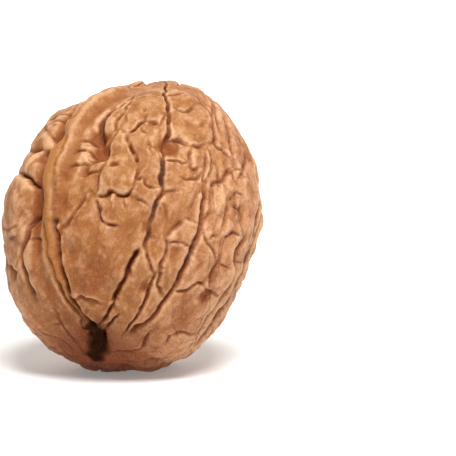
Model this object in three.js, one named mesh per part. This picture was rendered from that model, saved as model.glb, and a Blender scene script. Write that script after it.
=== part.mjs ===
// A whole walnut in its shell, as one solid: an egg-shaped nut with a raised suture band round it,
// furrows that run between the base scar and the apex, cracks that cross between them, and a few
// deep pits. Millimetres, +Z up. The nut leans as it lies, on a small flat spot, and the origin is
// on that spot, straight below the middle of the nut. A place on the shell is a longitude round the
// nut's own axis, from the front suture at 0, and a latitude from -90 at the base to 90 at the apex,
// both in degrees.

import * as THREE from "three";
import { mergeVertices } from "three/addons/utils/BufferGeometryUtils.js";

// Driving dimensions of the smooth nut, before its relief.
const APEX_HALF_LENGTH = 21.4; // middle to apex
const BASE_HALF_LENGTH = 20.6; // middle to base
const SUTURE_HALF_WIDTH = 17.2; // middle to either suture
const CHEEK_HALF_WIDTH = 18.0; // middle to the cheek of either half
const ROUNDNESS = 2.05; // 2 is an ellipsoid, and more is boxier

// How the nut lies.
const CENTRE_HEIGHT = 19.5; // middle of the nut above its flat spot
const LEAN = 35; // axis away from the vertical
const LEAN_TOWARDS = 71.3; // direction in which the apex leans, counted from +X
const TURN = 163.2; // turn of the nut about its own axis

// The suture band: a rounded rib on both sides of the nut, with a shallow valley along each edge.
const BAND_HALF_WIDTH = 1.3;
const BAND_HEIGHT = 0.75;
const BAND_VALLEY_DEPTH = 0.3;
const BAND_VALLEY_OFFSET = 2.6; // from the band's middle to the valley's
const BAND_VALLEY_HALF_WIDTH = 1.0;
const BAND_SINKS_FROM = -20; // latitude where the band starts to sink towards the base scar
const BAND_SUNK_BY = -45;
const FRONT_SUTURE = [
  [6, 70], [3, 45], [1, 25], [0, 5], [-1.5, -12], [-1, -24], [1, -38], [5, -52], [11, -63], [22, -71],
];
const BACK_SUTURE = [
  [177, 72], [182, 50], [183, 25], [180, 0], [177, -25], [174, -50], [160, -66], [120, -76],
];

// Furrows and cracks of the front.
const FRONT_FURROWS = [
  // The centre furrow from the lip at the top, and its two branches towards the base.
  { halfWidth: 1.1, depth: 1.15, route: [[40, 66], [41.5, 55], [43, 42], [46, 30], [47.8, 17], [48.8, 3]] },
  { halfWidth: 1.1, depth: 1.15, route: [[48.8, 3], [49.6, -10], [49.2, -18], [51, -31], [52, -36]] },
  { halfWidth: 1.2, depth: 1.4, route: [[49, -35], [46, -42.5], [43.5, -53], [41, -62], [31, -71]] },
  { halfWidth: 1.0, depth: 0.8, route: [[57.5, -27], [60.6, -38], [59.5, -44], [61.5, -60], [63, -66]] },
  // The long furrow to the right of it.
  { halfWidth: 1.0, depth: 0.7, route: [[66, 45], [69, 34], [71, 26], [75, 24], [79, 21.5]] },
  { halfWidth: 1.0, depth: 0.55, route: [[70, 26], [67, 20], [68.8, 8], [68, 0]] },
  { halfWidth: 1.2, depth: 1.4, route: [[68, 1], [71, -11], [72.4, -25], [73.8, -41], [72, -57], [66, -67]] },
  // The right-hand furrows.
  { halfWidth: 1.0, depth: 0.7, route: [[78, 46], [80.3, 25.5], [82.5, 12], [83.4, -6], [82.5, -13]] },
  { halfWidth: 1.0, depth: 0.7, route: [[82.5, -13], [85.5, -18], [88, -24], [89.3, -31], [90, -36]] },
  { halfWidth: 1.2, depth: 1.05, route: [[101, -6], [97, -16], [103.5, -28], [107.3, -45], [125, -55]] },
  { halfWidth: 1.2, depth: 0.7, route: [[108, 50], [106, 34], [109, 18], [112, -8], [119, -32]] },
  { halfWidth: 1.0, depth: 0.7, route: [[75, -43.8], [80, -42], [82.3, -38], [92, -36.8], [101, -35.3]] },
  { halfWidth: 1.0, depth: 0.55, route: [[84.5, -15.5], [89, -11.7], [94, -9], [101, -6]] },
  { halfWidth: 1.0, depth: 0.45, route: [[88, -25], [95, -24.7], [102, -25]] },
  // Cross cracks between the centre furrow and the long one.
  { halfWidth: 1.0, depth: 0.7, route: [[48, 17], [52, 19.3], [58.5, 16.5], [66, 19]] },
  { halfWidth: 1.0, depth: 0.7, route: [[49, 6.2], [54, 7.7], [58.5, 8], [61, 5.4], [67, 8]] },
  { halfWidth: 1.0, depth: 0.6, route: [[65.5, -5], [64.7, -12], [61, -20], [57.5, -28]] },
  { halfWidth: 1.0, depth: 0.45, route: [[64, -16], [67, -15.5], [71, -15.2]] },
  { halfWidth: 1.0, depth: 0.55, route: [[60, -41], [62.5, -43.5], [66, -47], [72, -49]] },
  { halfWidth: 1.0, depth: 0.45, route: [[51, 34], [54, 35.3], [57.5, 39], [61.5, 54]] },
  // The folded dents between the band and the centre furrow.
  { halfWidth: 1.1, depth: 0.8, route: [[22, 56], [23.5, 42], [25, 34], [24.2, 28], [22.5, 22]] },
  { halfWidth: 1.3, depth: 1.05, route: [[22, 37.5], [18.5, 32], [15.3, 22], [16.5, 16], [19.5, 10]] },
  { halfWidth: 1.2, depth: 0.9, route: [[15.5, 9], [18, 6.5], [21, 4], [23.3, 1.5]] },
  { halfWidth: 1.0, depth: 0.6, route: [[13, 3], [17, 0.9], [20, 1], [23, 0.5]] },
  { halfWidth: 1.0, depth: 0.55, route: [[26, 34.2], [33, 34.2], [35.5, 26]] },
  { halfWidth: 1.0, depth: 0.8, route: [[43, 22.5], [35.5, 25.2], [33, 23], [30.3, 14.5], [37.3, 1]] },
  // Round the raised block, and round the large plate below it.
  { halfWidth: 1.0, depth: 0.7, route: [[14.5, -3], [15, -7.3], [18, -5.9], [21.5, -4.8], [23.7, -15.5]] },
  { halfWidth: 1.0, depth: 1.15, route: [[17.5, -15.5], [24.5, -16.5], [31, -14], [37.5, -13], [38.4, -6]] },
  { halfWidth: 1.0, depth: 0.75, route: [[22, -17.5], [24, -21], [26, -26], [29, -28.2], [36.5, -27.5]] },
  { halfWidth: 1.0, depth: 0.7, route: [[17.5, -16], [14.5, -22], [12, -26.5], [8.5, -28.8], [5, -33]] },
  { halfWidth: 1.0, depth: 0.55, route: [[8.5, -58.8], [15, -58.1], [21, -58.7], [27, -58], [36, -59.2]] },
  // The grooves on both sides of the sunken end of the band.
  { halfWidth: 1.3, depth: 1.5, route: [[3, -24], [3.3, -34], [4, -43], [9, -60], [15, -65.3], [26, -71]] },
  { halfWidth: 1.3, depth: 1.25, route: [[-4.5, -22], [-3, -30], [-1, -41], [-0.8, -49], [8, -65]] },
  // Left of the band.
  { halfWidth: 1.4, depth: 1.25, route: [[-9, -8], [-7.5, -17.5], [-18, -27], [-25, -46], [-19, -64]] },
  { halfWidth: 1.1, depth: 1.15, route: [[-46, 9], [-39, 6.5], [-27, 1], [-18, -4], [-8, -11.2]] },
  { halfWidth: 1.0, depth: 0.6, route: [[-50, -15], [-40, -20], [-30, -23], [-20, -26]] },
  { halfWidth: 1.1, depth: 0.8, route: [[-50, -32], [-40, -38.5], [-34, -41.2], [-24, -43]] },
  { halfWidth: 1.0, depth: 0.55, route: [[-16, -31], [-12, -32], [-7, -34], [-3, -35.5]] },
  { halfWidth: 1.2, depth: 0.85, route: [[-34, 33], [-18, 22.5], [-12, 17.5], [-7, 14], [-4, 11.5]] },
  { halfWidth: 1.1, depth: 0.75, route: [[-15, 11.5], [-13, 8.5], [-11, 6.7], [-6.5, 3]] },
  { halfWidth: 1.3, depth: 0.6, route: [[-40, 21], [-26, 14.3], [-15, 11.5]] },
  { halfWidth: 1.0, depth: 0.55, route: [[-16, 32], [-8, 27.5], [-1, 23.5]] },
];

// Pits and hollows (negative height), and pads and shoulders (positive height).
const MOUNDS = [
  { at: [18, 13], radius: 1.9, height: -0.9 },
  { at: [22, 3], radius: 1.5, height: -0.8 },
  { at: [16.5, -4.5], radius: 1.2, height: -0.5 },
  { at: [-3.5, 13.5], radius: 1.4, height: -0.9 },
  { at: [-12, 7.5], radius: 1.3, height: -0.6 },
  { at: [50, 14], radius: 1.6, height: -0.6 },
  { at: [94, -40.5], radius: 1.1, height: -0.5 },
  { at: [85, -47], radius: 1.8, height: -0.35 },
  { at: [30, -9], radius: 2.2, height: 0.5 },
  { at: [-26, -11], radius: 5.0, height: 0.6 },
  { at: [-38, 20], radius: 4.5, height: 0.5 },
  { at: [70, 58], radius: 8.0, height: 0.5 },
  { at: [-8, 54], radius: 7.0, height: -0.6 },
  { at: [118, -60], radius: 8.0, height: 0.6 },
  { at: [124, -12], radius: 8.0, height: -0.4 },
  { at: [-60, -62], radius: 7.0, height: -0.4 },
];
const SCAR = { at: [32, -78], radius: 3.0, height: -1.7 };
const APEX_TIP = { at: [0, 90], radius: 2.0, height: 2.0 };
const RESTING_PAD = { at: [196, -49], radius: 5.5, height: 1.4 }; // fuller where the nut lies

// The hidden cheeks: furrows set out at an even step of longitude, each with its own wander, length,
// width and depth, and cracks that cross between neighbours.
const CHEEK_FURROW_FIRST = 120;
const CHEEK_FURROW_LAST = 305;
const CHEEK_FURROW_COUNT = 13;
const CHEEK_WANDER = 6; // degrees to either side of a furrow's own longitude
const CHEEK_FURROW_POINTS = 8;
const CHEEK_FURROW_TOP = [44, 66]; // latitudes between which furrows start
const CHEEK_FURROW_BOTTOM = [-66, -46]; // latitudes between which they end
const CHEEK_FURROW_HALF_WIDTH = [1.0, 1.3];
const CHEEK_FURROW_DEPTH = [0.7, 1.3];
const CRACKS_PER_GAP = 5;
const CRACK_TOP = 44; // latitude of a gap's highest crack
const CRACK_STEP = 22; // from one crack of a gap to the next below it
const CRACK_WANDER = 9; // degrees of latitude to either side
const CRACK_POINTS = 4;
const CRACK_HALF_WIDTH = 1.0;
const CRACK_DEPTH = [0.4, 0.8];
const SUTURE_CLEARANCE = 9; // degrees that a furrow keeps from the back suture
const BACK_SUTURE_LONGITUDE = 180;

// Short creases that gather at the apex and at the base.
const END_CREASE_COUNT = 11;
const END_CREASE_HALF_WIDTH = 1.0;
const END_CREASE_DEPTH = [0.35, 0.75];
const APEX_CREASE_LATITUDES = [80, 70, 58];
const BASE_CREASE_LATITUDES = [-81, -72, -62];
const END_CREASE_WANDER = 9;

const SURFACE_DETAIL = 22; // splits of each edge of the starting icosahedron
const ROUTE_STEPS = 60; // short straight steps in each furrow's line

const SHELL_COLOUR = 0xc48d5f;
const SHELL_ROUGHNESS = 0.62;

const { degToRad, radToDeg, lerp, smoothstep } = THREE.MathUtils;

// A repeatable number from 0 to 1 for each pair of whole numbers.
function chance(row, column) {
  const wave = Math.sin(row * 127.1 + column * 311.7 + 31.7) * 43758.5453;
  return wave - Math.floor(wave);
}

const between = ([low, high], share) => lerp(low, high, share);
const toEitherSide = (reach, share) => reach * (2 * share - 1);

function directionAt([longitude, latitude]) {
  const lon = degToRad(longitude);
  const lat = degToRad(latitude);
  return new THREE.Vector3(Math.cos(lat) * Math.cos(lon), Math.cos(lat) * Math.sin(lon), Math.sin(lat));
}

// Superellipsoid: the point of the smooth nut's surface that lies in one direction from its middle.
function onSmoothNut(towards) {
  const direction = towards.clone().normalize();
  const halfLength = direction.z > 0 ? APEX_HALF_LENGTH : BASE_HALF_LENGTH;
  const along = Math.abs(direction.z / halfLength);
  const across = Math.hypot(direction.x / SUTURE_HALF_WIDTH, direction.y / CHEEK_HALF_WIDTH);
  return direction.multiplyScalar((along ** ROUNDNESS + across ** ROUNDNESS) ** (-1 / ROUNDNESS));
}

// A route's points as a smooth line laid on the nut.
function lineOnNut(route) {
  const curve = new THREE.CatmullRomCurve3(route.map((place) => onSmoothNut(directionAt(place))));
  return curve.getPoints(ROUTE_STEPS).map(onSmoothNut);
}

function distanceToLine(point, line) {
  let nearest = Infinity;
  for (const sample of line) nearest = Math.min(nearest, point.distanceToSquared(sample));
  return Math.sqrt(nearest);
}

const bell = (distance, halfWidth) => Math.exp(-((distance / halfWidth) ** 2));

// Longitudes of the furrows of the hidden cheeks, from one half to the other round the back.
function cheekLongitudes() {
  const longitudes = [];
  for (let k = 0; k < CHEEK_FURROW_COUNT; k++) {
    const even = lerp(CHEEK_FURROW_FIRST, CHEEK_FURROW_LAST, k / (CHEEK_FURROW_COUNT - 1));
    const fromSuture = even - BACK_SUTURE_LONGITUDE;
    const clear = Math.max(Math.abs(fromSuture), SUTURE_CLEARANCE) * Math.sign(fromSuture);
    longitudes.push(BACK_SUTURE_LONGITUDE + clear);
  }
  return longitudes;
}

// One furrow of a hidden cheek, from near the apex to near the base.
function cheekFurrow(longitude, k) {
  const top = between(CHEEK_FURROW_TOP, chance(k, 1));
  const bottom = between(CHEEK_FURROW_BOTTOM, chance(k, 2));
  const route = [];
  for (let i = 0; i < CHEEK_FURROW_POINTS; i++) {
    const wander = toEitherSide(CHEEK_WANDER, chance(k, 10 + i));
    route.push([longitude + wander, lerp(top, bottom, i / (CHEEK_FURROW_POINTS - 1))]);
  }
  const halfWidth = between(CHEEK_FURROW_HALF_WIDTH, chance(k, 3));
  return { route, halfWidth, depth: between(CHEEK_FURROW_DEPTH, chance(k, 4)) };
}

// One crack from a furrow of a hidden cheek to the next furrow.
function crossCrack(from, to, k, j) {
  const latitude = CRACK_TOP - CRACK_STEP * j;
  const route = [];
  for (let i = 0; i < CRACK_POINTS; i++) {
    const wander = toEitherSide(CRACK_WANDER, chance(k + 50 * j, 20 + i));
    route.push([lerp(from, to, i / (CRACK_POINTS - 1)), latitude + wander]);
  }
  return { route, halfWidth: CRACK_HALF_WIDTH, depth: between(CRACK_DEPTH, chance(k + 50 * j, 5)) };
}

function cheekRelief() {
  const longitudes = cheekLongitudes();
  const furrows = longitudes.map(cheekFurrow);
  for (let k = 0; k + 1 < CHEEK_FURROW_COUNT; k++) {
    const [from, to] = [longitudes[k], longitudes[k + 1]];
    const crossesSuture = from < BACK_SUTURE_LONGITUDE && to > BACK_SUTURE_LONGITUDE;
    if (crossesSuture) continue;
    for (let j = 0; j < CRACKS_PER_GAP; j++) furrows.push(crossCrack(from, to, k, j));
  }
  return furrows;
}

// Creases that run out from one end of the nut, evenly round its axis.
function endCreases(latitudes, seed) {
  const creases = [];
  for (let k = 0; k < END_CREASE_COUNT; k++) {
    const longitude = (360 * (k + 0.5)) / END_CREASE_COUNT;
    const route = latitudes.map((latitude, i) => {
      const wander = toEitherSide(END_CREASE_WANDER, chance(seed + k, i));
      return [longitude + wander, latitude];
    });
    const depth = between(END_CREASE_DEPTH, chance(seed + k, 6));
    creases.push({ route, halfWidth: END_CREASE_HALF_WIDTH, depth });
  }
  return creases;
}

const furrows = [
  ...FRONT_FURROWS,
  ...cheekRelief(),
  ...endCreases(APEX_CREASE_LATITUDES, 300),
  ...endCreases(BASE_CREASE_LATITUDES, 400),
].map((furrow) => ({ ...furrow, line: lineOnNut(furrow.route) }));

const mounds = [...MOUNDS, SCAR, APEX_TIP, RESTING_PAD].map((mound) => ({
  ...mound,
  middle: onSmoothNut(directionAt(mound.at)),
}));

const sutures = [FRONT_SUTURE, BACK_SUTURE].map(lineOnNut);

// Height of the suture band and its two valleys at a distance from the band's middle.
function bandHeight(distance, latitude) {
  const above = smoothstep(latitude, BAND_SUNK_BY, BAND_SINKS_FROM);
  const rib = BAND_HEIGHT * above * bell(distance, BAND_HALF_WIDTH);
  const valley = BAND_VALLEY_DEPTH * bell(distance - BAND_VALLEY_OFFSET, BAND_VALLEY_HALF_WIDTH);
  return rib - valley;
}

// Relief on the smooth nut: the band, less the deepest furrow there, plus every mound.
function relief(point, latitude) {
  const fromSuture = Math.min(...sutures.map((line) => distanceToLine(point, line)));
  let cut = 0;
  for (const { line, halfWidth, depth } of furrows) {
    cut = Math.max(cut, depth * bell(distanceToLine(point, line), halfWidth));
  }
  let raised = 0;
  for (const { middle, radius, height } of mounds) {
    raised += height * bell(point.distanceTo(middle), radius);
  }
  return bandHeight(fromSuture, latitude) - cut + raised;
}

// The nut's surface: an icosphere whose points are moved out to the smooth nut and its relief, with
// what would reach below the resting plane laid flat on it.
function walnutGeometry(down) {
  const icosphere = new THREE.IcosahedronGeometry(1, SURFACE_DETAIL);
  icosphere.deleteAttribute("normal");
  icosphere.deleteAttribute("uv");
  const surface = mergeVertices(icosphere);
  const position = surface.getAttribute("position");
  const direction = new THREE.Vector3();
  for (let i = 0; i < position.count; i++) {
    direction.fromBufferAttribute(position, i).normalize();
    const point = onSmoothNut(direction);
    const latitude = radToDeg(Math.asin(direction.z));
    point.addScaledVector(direction, relief(point, latitude));
    const below = point.dot(down) - CENTRE_HEIGHT;
    if (below > 0) point.addScaledVector(down, -below);
    position.setXYZ(i, point.x, point.y, point.z);
  }
  surface.computeVertexNormals();
  return surface;
}

const shellMaterial = new THREE.MeshStandardMaterial({
  color: SHELL_COLOUR,
  roughness: SHELL_ROUGHNESS,
  metalness: 0,
});

// The nut turns about its own axis, then leans, then faces the way that it leans.
const walnut = new THREE.Mesh(new THREE.BufferGeometry(), shellMaterial);
walnut.name = "walnut";
walnut.rotation.z = degToRad(TURN);
const leaning = new THREE.Group();
leaning.rotation.y = degToRad(LEAN);
leaning.add(walnut);
const heading = new THREE.Group();
heading.position.z = CENTRE_HEIGHT;
heading.rotation.z = degToRad(LEAN_TOWARDS);
heading.add(leaning);

const part = new THREE.Group();
part.add(heading);
part.updateMatrixWorld(true);

// The resting plane lies across "down", as the turned nut sees it.
const turned = walnut.getWorldQuaternion(new THREE.Quaternion());
const down = new THREE.Vector3(0, 0, -1).applyQuaternion(turned.invert());
walnut.geometry = walnutGeometry(down);

export default part;
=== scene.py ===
"""A walnut in its shell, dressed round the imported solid, and the plain stage that it lies on.

A place on the shell is a longitude round the nut's own axis, from the front suture at 0, and a latitude
from -90 at the base to 90 at the apex, both in degrees. The shell's shape is worked out in millimetres,
with the middle of the nut at the origin and its apex along +Z, and is then laid down as the solid lies.
"""

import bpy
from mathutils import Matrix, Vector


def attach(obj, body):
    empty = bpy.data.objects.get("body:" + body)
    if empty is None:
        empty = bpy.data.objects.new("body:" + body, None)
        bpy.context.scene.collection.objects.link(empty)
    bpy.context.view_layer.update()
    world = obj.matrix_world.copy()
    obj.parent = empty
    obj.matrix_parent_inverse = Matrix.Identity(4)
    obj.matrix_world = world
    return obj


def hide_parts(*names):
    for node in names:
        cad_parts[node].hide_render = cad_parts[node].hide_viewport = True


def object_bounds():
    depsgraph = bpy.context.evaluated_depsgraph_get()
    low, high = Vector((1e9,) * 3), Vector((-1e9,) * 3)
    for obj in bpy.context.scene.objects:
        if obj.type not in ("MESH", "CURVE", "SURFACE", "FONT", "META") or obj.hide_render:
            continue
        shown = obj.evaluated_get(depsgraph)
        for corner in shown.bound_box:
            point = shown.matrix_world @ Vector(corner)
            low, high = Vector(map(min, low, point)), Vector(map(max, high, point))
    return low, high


bl_info = {
    "name": "Walnut in its shell",
    "version": (1, 0, 0),
    "blender": (4, 5, 0),
    "location": "3D View > Sidebar > Walnut",
    "description": "Dresses the packed walnut with its fine shell and sets the stage round it",
    "category": "Object",
}

import itertools
from typing import NamedTuple

import bpy
import numpy as np
from mathutils import Matrix, Vector

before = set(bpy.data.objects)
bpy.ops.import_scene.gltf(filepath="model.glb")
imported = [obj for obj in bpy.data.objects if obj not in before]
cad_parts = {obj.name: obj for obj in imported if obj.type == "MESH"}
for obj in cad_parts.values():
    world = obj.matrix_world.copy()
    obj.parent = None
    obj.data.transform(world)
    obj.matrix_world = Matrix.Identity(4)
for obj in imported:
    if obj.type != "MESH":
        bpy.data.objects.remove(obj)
CAD_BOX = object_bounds()

MM = 0.001  # metres in a millimetre
WALNUT_NODE = "walnut"


class Line(NamedTuple):
    """A furrow or crack: how deep and how wide it is, how far its left side stands proud, and its route."""

    depth: float
    half_width: float
    lip: float
    route: list


class Mound(NamedTuple):
    """A pad (positive height) or a pit (negative height) round one place of the shell."""

    place: tuple
    radius: float
    height: float


class Ripple(NamedTuple):
    """A layer of noise in the shell's form: its height, the size of its lumps, and its seed."""

    height: float
    size: float
    seed: int


class Patches(NamedTuple):
    """Noise in the shell's colour: patch size in millimetres, and how far patches stretch along the axis."""

    size: float
    detail: float
    roughness: float
    stretch: float = 1.0


class Layer(NamedTuple):
    """A colour laid over those before it, as far as a pattern goes.

    The ramp gives two values of the pattern and the colour's share at each. A layer within another pattern
    has its share multiplied by that one.
    """

    swatch: str
    pattern: str
    ramp: tuple
    within: str = ""


# The suture band, front and back.
FRONT_SUTURE = [
    (6, 70), (3, 45), (1, 25), (0, 5), (-1.5, -12), (-1, -24), (1, -38), (5, -52), (11, -63), (22, -71),
]
BACK_SUTURE = [
    (177, 72), (182, 50), (183, 25), (180, 0), (177, -25), (174, -50), (160, -66), (120, -76),
]

# The centre furrow, from the lip at the top to its branches near the base.
CENTRE_LINES = [
    Line(0.9, 0.45, 0, [(38, 66), (42, 58), (41.5, 50), (42.5, 44.5), (44, 38), (45, 34.5), (46, 31.5)]),
    Line(0.8, 0.6, 0, [(45, 34), (46.5, 30), (47, 25), (48, 20), (48, 16)]),
    Line(0.4, 0.3, 0, [(44.5, 33), (44.5, 29), (44, 25.5), (43, 22.5)]),
    Line(0.75, 0.4, 0, [(47, 23), (47.7, 15), (47.6, 11), (48, 5), (49, -1), (49.5, -5), (51, -9)]),
    Line(0.5, 0.3, 0, [(46, 7), (47.3, 3), (48, -1), (48.5, -4), (50, -7.5)]),
    Line(0.65, 0.45, 0, [(50.5, -7), (51, -11), (50, -15), (49.5, -19), (50, -29), (50.5, -33), (52, -36)]),
    Line(0.55, 0.4, 0, [(51.5, -34.5), (53, -37.5), (55.5, -40), (58, -42), (60, -42)]),
    Line(1.2, 0.8, 0, [(48.5, -35), (47, -38), (46, -42), (45, -47), (44, -51), (43.2, -55), (43, -59)]),
    Line(0.8, 0.6, 0, [(43.2, -57), (43, -59), (41, -62), (38, -65.5), (34, -69)]),
    Line(0.75, 0.45, 0, [(60, -41), (60, -45.5), (61, -49), (61.5, -57), (62, -61), (63, -65), (62, -71)]),
]

# Cracks between the centre furrow and the long furrow to its right.
MIDDLE_LINES = [
    Line(
        0.55, 0.35, 0.2,
        [(48, 17), (50.5, 18.2), (52.5, 18.6), (55, 17.6), (58, 17), (62.5, 18), (66, 20.5)],
    ),
    Line(0.5, 0.32, 0.15, [(48.5, 4.5), (50.5, 6), (54, 7.5), (57, 7), (59, 8.3)]),
    Line(0.45, 0.38, 0.2, [(59, 15.5), (59, 12), (60, 8.5), (61, 6), (63, 6), (65, 8)]),
    Line(0.35, 0.3, 0.1, [(50.5, 34.5), (54, 35), (57, 37.5), (58.5, 38.5)]),
    Line(0.4, 0.3, 0.1, [(43, 45), (46.5, 46.5), (50.5, 48), (53, 46)]),
    Line(0.4, 0.35, 0.1, [(50.5, -13), (52, -9.7), (55, -8), (56, -7), (58, -6)]),
    Line(0.25, 0.4, 0, [(51, -14), (53.5, -15), (55, -18), (56.5, -22.5)]),
    Line(0.45, 0.35, -0.2, [(57.5, -28), (59.5, -24), (61.5, -21), (64, -18), (66, -16.3), (70.5, -16)]),
    Line(0.25, 0.35, 0, [(64.7, -13), (65, -9), (66, -4.5), (67.5, -1)]),
    Line(0.5, 0.35, 0, [(57, -26.5), (60, -30), (61, -33.5), (61, -37), (61.5, -40), (60, -42)]),
    Line(0.4, 0.3, -0.12, [(60, -30), (62, -28), (66, -27), (68.5, -27), (71.5, -26)]),
    Line(0.4, 0.35, 0, [(50.5, -29.5), (53, -28.7), (56, -28.5)]),
    Line(0.4, 0.3, 0.12, [(53, 30.5), (56.5, 29), (61, 29), (65, 33)]),
    Line(0.4, 0.3, -0.1, [(56.5, 0), (61, 0), (65, 2.5), (66, 7)]),
    Line(0.35, 0.3, 0.1, [(47, 36.5), (50.5, 34), (55, 36), (59, 42)]),
    Line(0.5, 0.33, 0, [(59.5, -42), (62, -41), (63, -43), (63.5, -45.5), (66, -46.5), (71, -48.5)]),
]

# The long furrow and the creases that run into it.
LONG_FURROW_LINES = [
    Line(0.35, 0.4, 0, [(62, 52), (63, 46.5), (66, 42.5), (69, 38.5), (70, 33)]),
    Line(0.6, 0.38, 0.1, [(69.5, 36), (70, 33), (71, 29), (72, 25), (76, 24), (79, 22), (81, 20)]),
    Line(0.3, 0.35, 0, [(71.5, 27), (67, 20.5), (69, 17.5), (70, 12), (70, 8.5), (69, 4.5), (68.7, 1)]),
    Line(0.3, 0.3, 0, [(66, 20.5), (66.3, 14), (67, 6), (67.2, 2.5), (68.2, -1)]),
    Line(0.95, 0.5, 0, [(68, 2.5), (68.7, -1), (70, -5), (71.3, -11), (72, -15.5), (72.3, -19)]),
    Line(1.0, 0.6, 0, [(71.8, -13), (72.7, -22), (72.2, -28), (73.3, -37), (74.2, -42), (74, -46)]),
    Line(0.75, 0.6, 0, [(74.2, -43), (74, -46), (72.6, -50), (72.5, -55), (72, -60), (68.5, -65), (65, -70)]),
    Line(0.4, 0.32, 0, [(72, 2), (72.2, -2), (73.5, -6), (74, -10), (73.5, -13)]),
    Line(0.5, 0.4, -0.12, [(70.8, -0.5), (72, 2.3), (74.5, 5), (77, 8), (78, 10.5), (80, 15), (81.5, 18)]),
]

# The right-hand plates, out to the strip that steps down along the right outline.
RIGHT_LINES = [
    Line(0.35, 0.3, 0, [(67, 56.5), (70, 52), (74, 47.5), (77, 45.5)]),
    Line(0.35, 0.3, 0, [(73, 56), (71.5, 48), (70, 42.5), (69.5, 38)]),
    Line(0.35, 0.3, 0.1, [(74, 46), (79, 48), (84, 47.5)]),
    Line(0.5, 0.35, 0, [(78.5, 46), (79.5, 38), (80, 32), (80.5, 28), (81.5, 25), (83, 21)]),
    Line(0.35, 0.3, 0, [(80, 19), (82.5, 18), (84.5, 20.5)]),
    Line(0.3, 0.3, 0, [(83, 21), (83, 13), (84.5, 10), (86, 8)]),
    Line(0.3, 0.3, 0, [(95, 22), (93.5, 19), (96, 19)]),
    Line(0.4, 0.3, 0.1, [(85, -0.5), (88, 1), (92, 1.5)]),
    Line(0.35, 0.3, 0, [(82, 1), (84.5, 3), (85.5, 6), (91, 7.5)]),
    Line(0.55, 0.4, 0, [(83, -0.5), (83.5, -5), (83.3, -9), (82.8, -12.5), (82, -15)]),
    Line(0.4, 0.32, -0.15, [(77.5, -20.5), (80.5, -17), (83, -15)]),
    Line(0.45, 0.32, 0.1, [(85.5, -16.5), (87.5, -13.5), (91, -10.5), (95, -9), (98, -8.5)]),
    Line(0.45, 0.32, 0, [(74, -17.5), (77, -21), (81.5, -22.5), (85, -24.5), (87.5, -26.5)]),
    Line(0.5, 0.38, 0, [(84.5, -15.5), (86, -19), (88, -23), (88.3, -26), (89, -30), (91, -34), (91.5, -37)]),
    Line(0.4, 0.3, 0.1, [(88, -25.5), (93, -25), (97.5, -24)]),
    Line(0.55, 0.35, -0.1, [(74.5, -45), (80, -43), (82, -41), (83, -39), (86, -37), (90, -37)]),
    Line(0.55, 0.35, 0.1, [(88, -37), (93.5, -37), (98, -36), (101, -35.5), (103, -31)]),
    Line(
        0.7, 0.6, -0.5,
        [(101, -6), (97.5, -13), (96.5, -17), (99, -20.5), (102, -23), (103, -27), (105.5, -31)],
    ),
    Line(1.0, 0.7, -0.6, [(105.5, -30), (106, -36), (107, -40.5), (108, -45), (111.5, -49), (117, -52.5)]),
    Line(1.0, 0.7, -0.5, [(114, -50.5), (117, -52.5), (121, -57), (126, -62)]),
    Line(0.3, 0.3, 0, [(99, -20), (105, -17), (112, -13)]),
    Line(0.4, 0.35, -0.1, [(100, -63), (95, -60), (96.5, -57.5), (99, -55), (106, -53), (111, -50)]),
    Line(0.7, 0.9, 0, [(108, 50), (106, 34), (109, 18), (112, -8), (119, -32)]),
    Line(0.4, 0.3, 0, [(68, 61), (73, 53), (72, 40), (73.5, 32)]),
    Line(0.45, 0.32, 0.1, [(92, 33), (94, 28.5), (89.5, 20), (86, 13)]),
    Line(0.4, 0.3, 0.1, [(79, 13), (84, 17.5), (89.5, 20)]),
    Line(0.4, 0.3, 0, [(70, 14.5), (74, 11), (75, 6), (74.5, 0)]),
    Line(0.45, 0.32, 0.1, [(90, 4), (94, -1), (97, -6), (101, -8)]),
]

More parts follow.
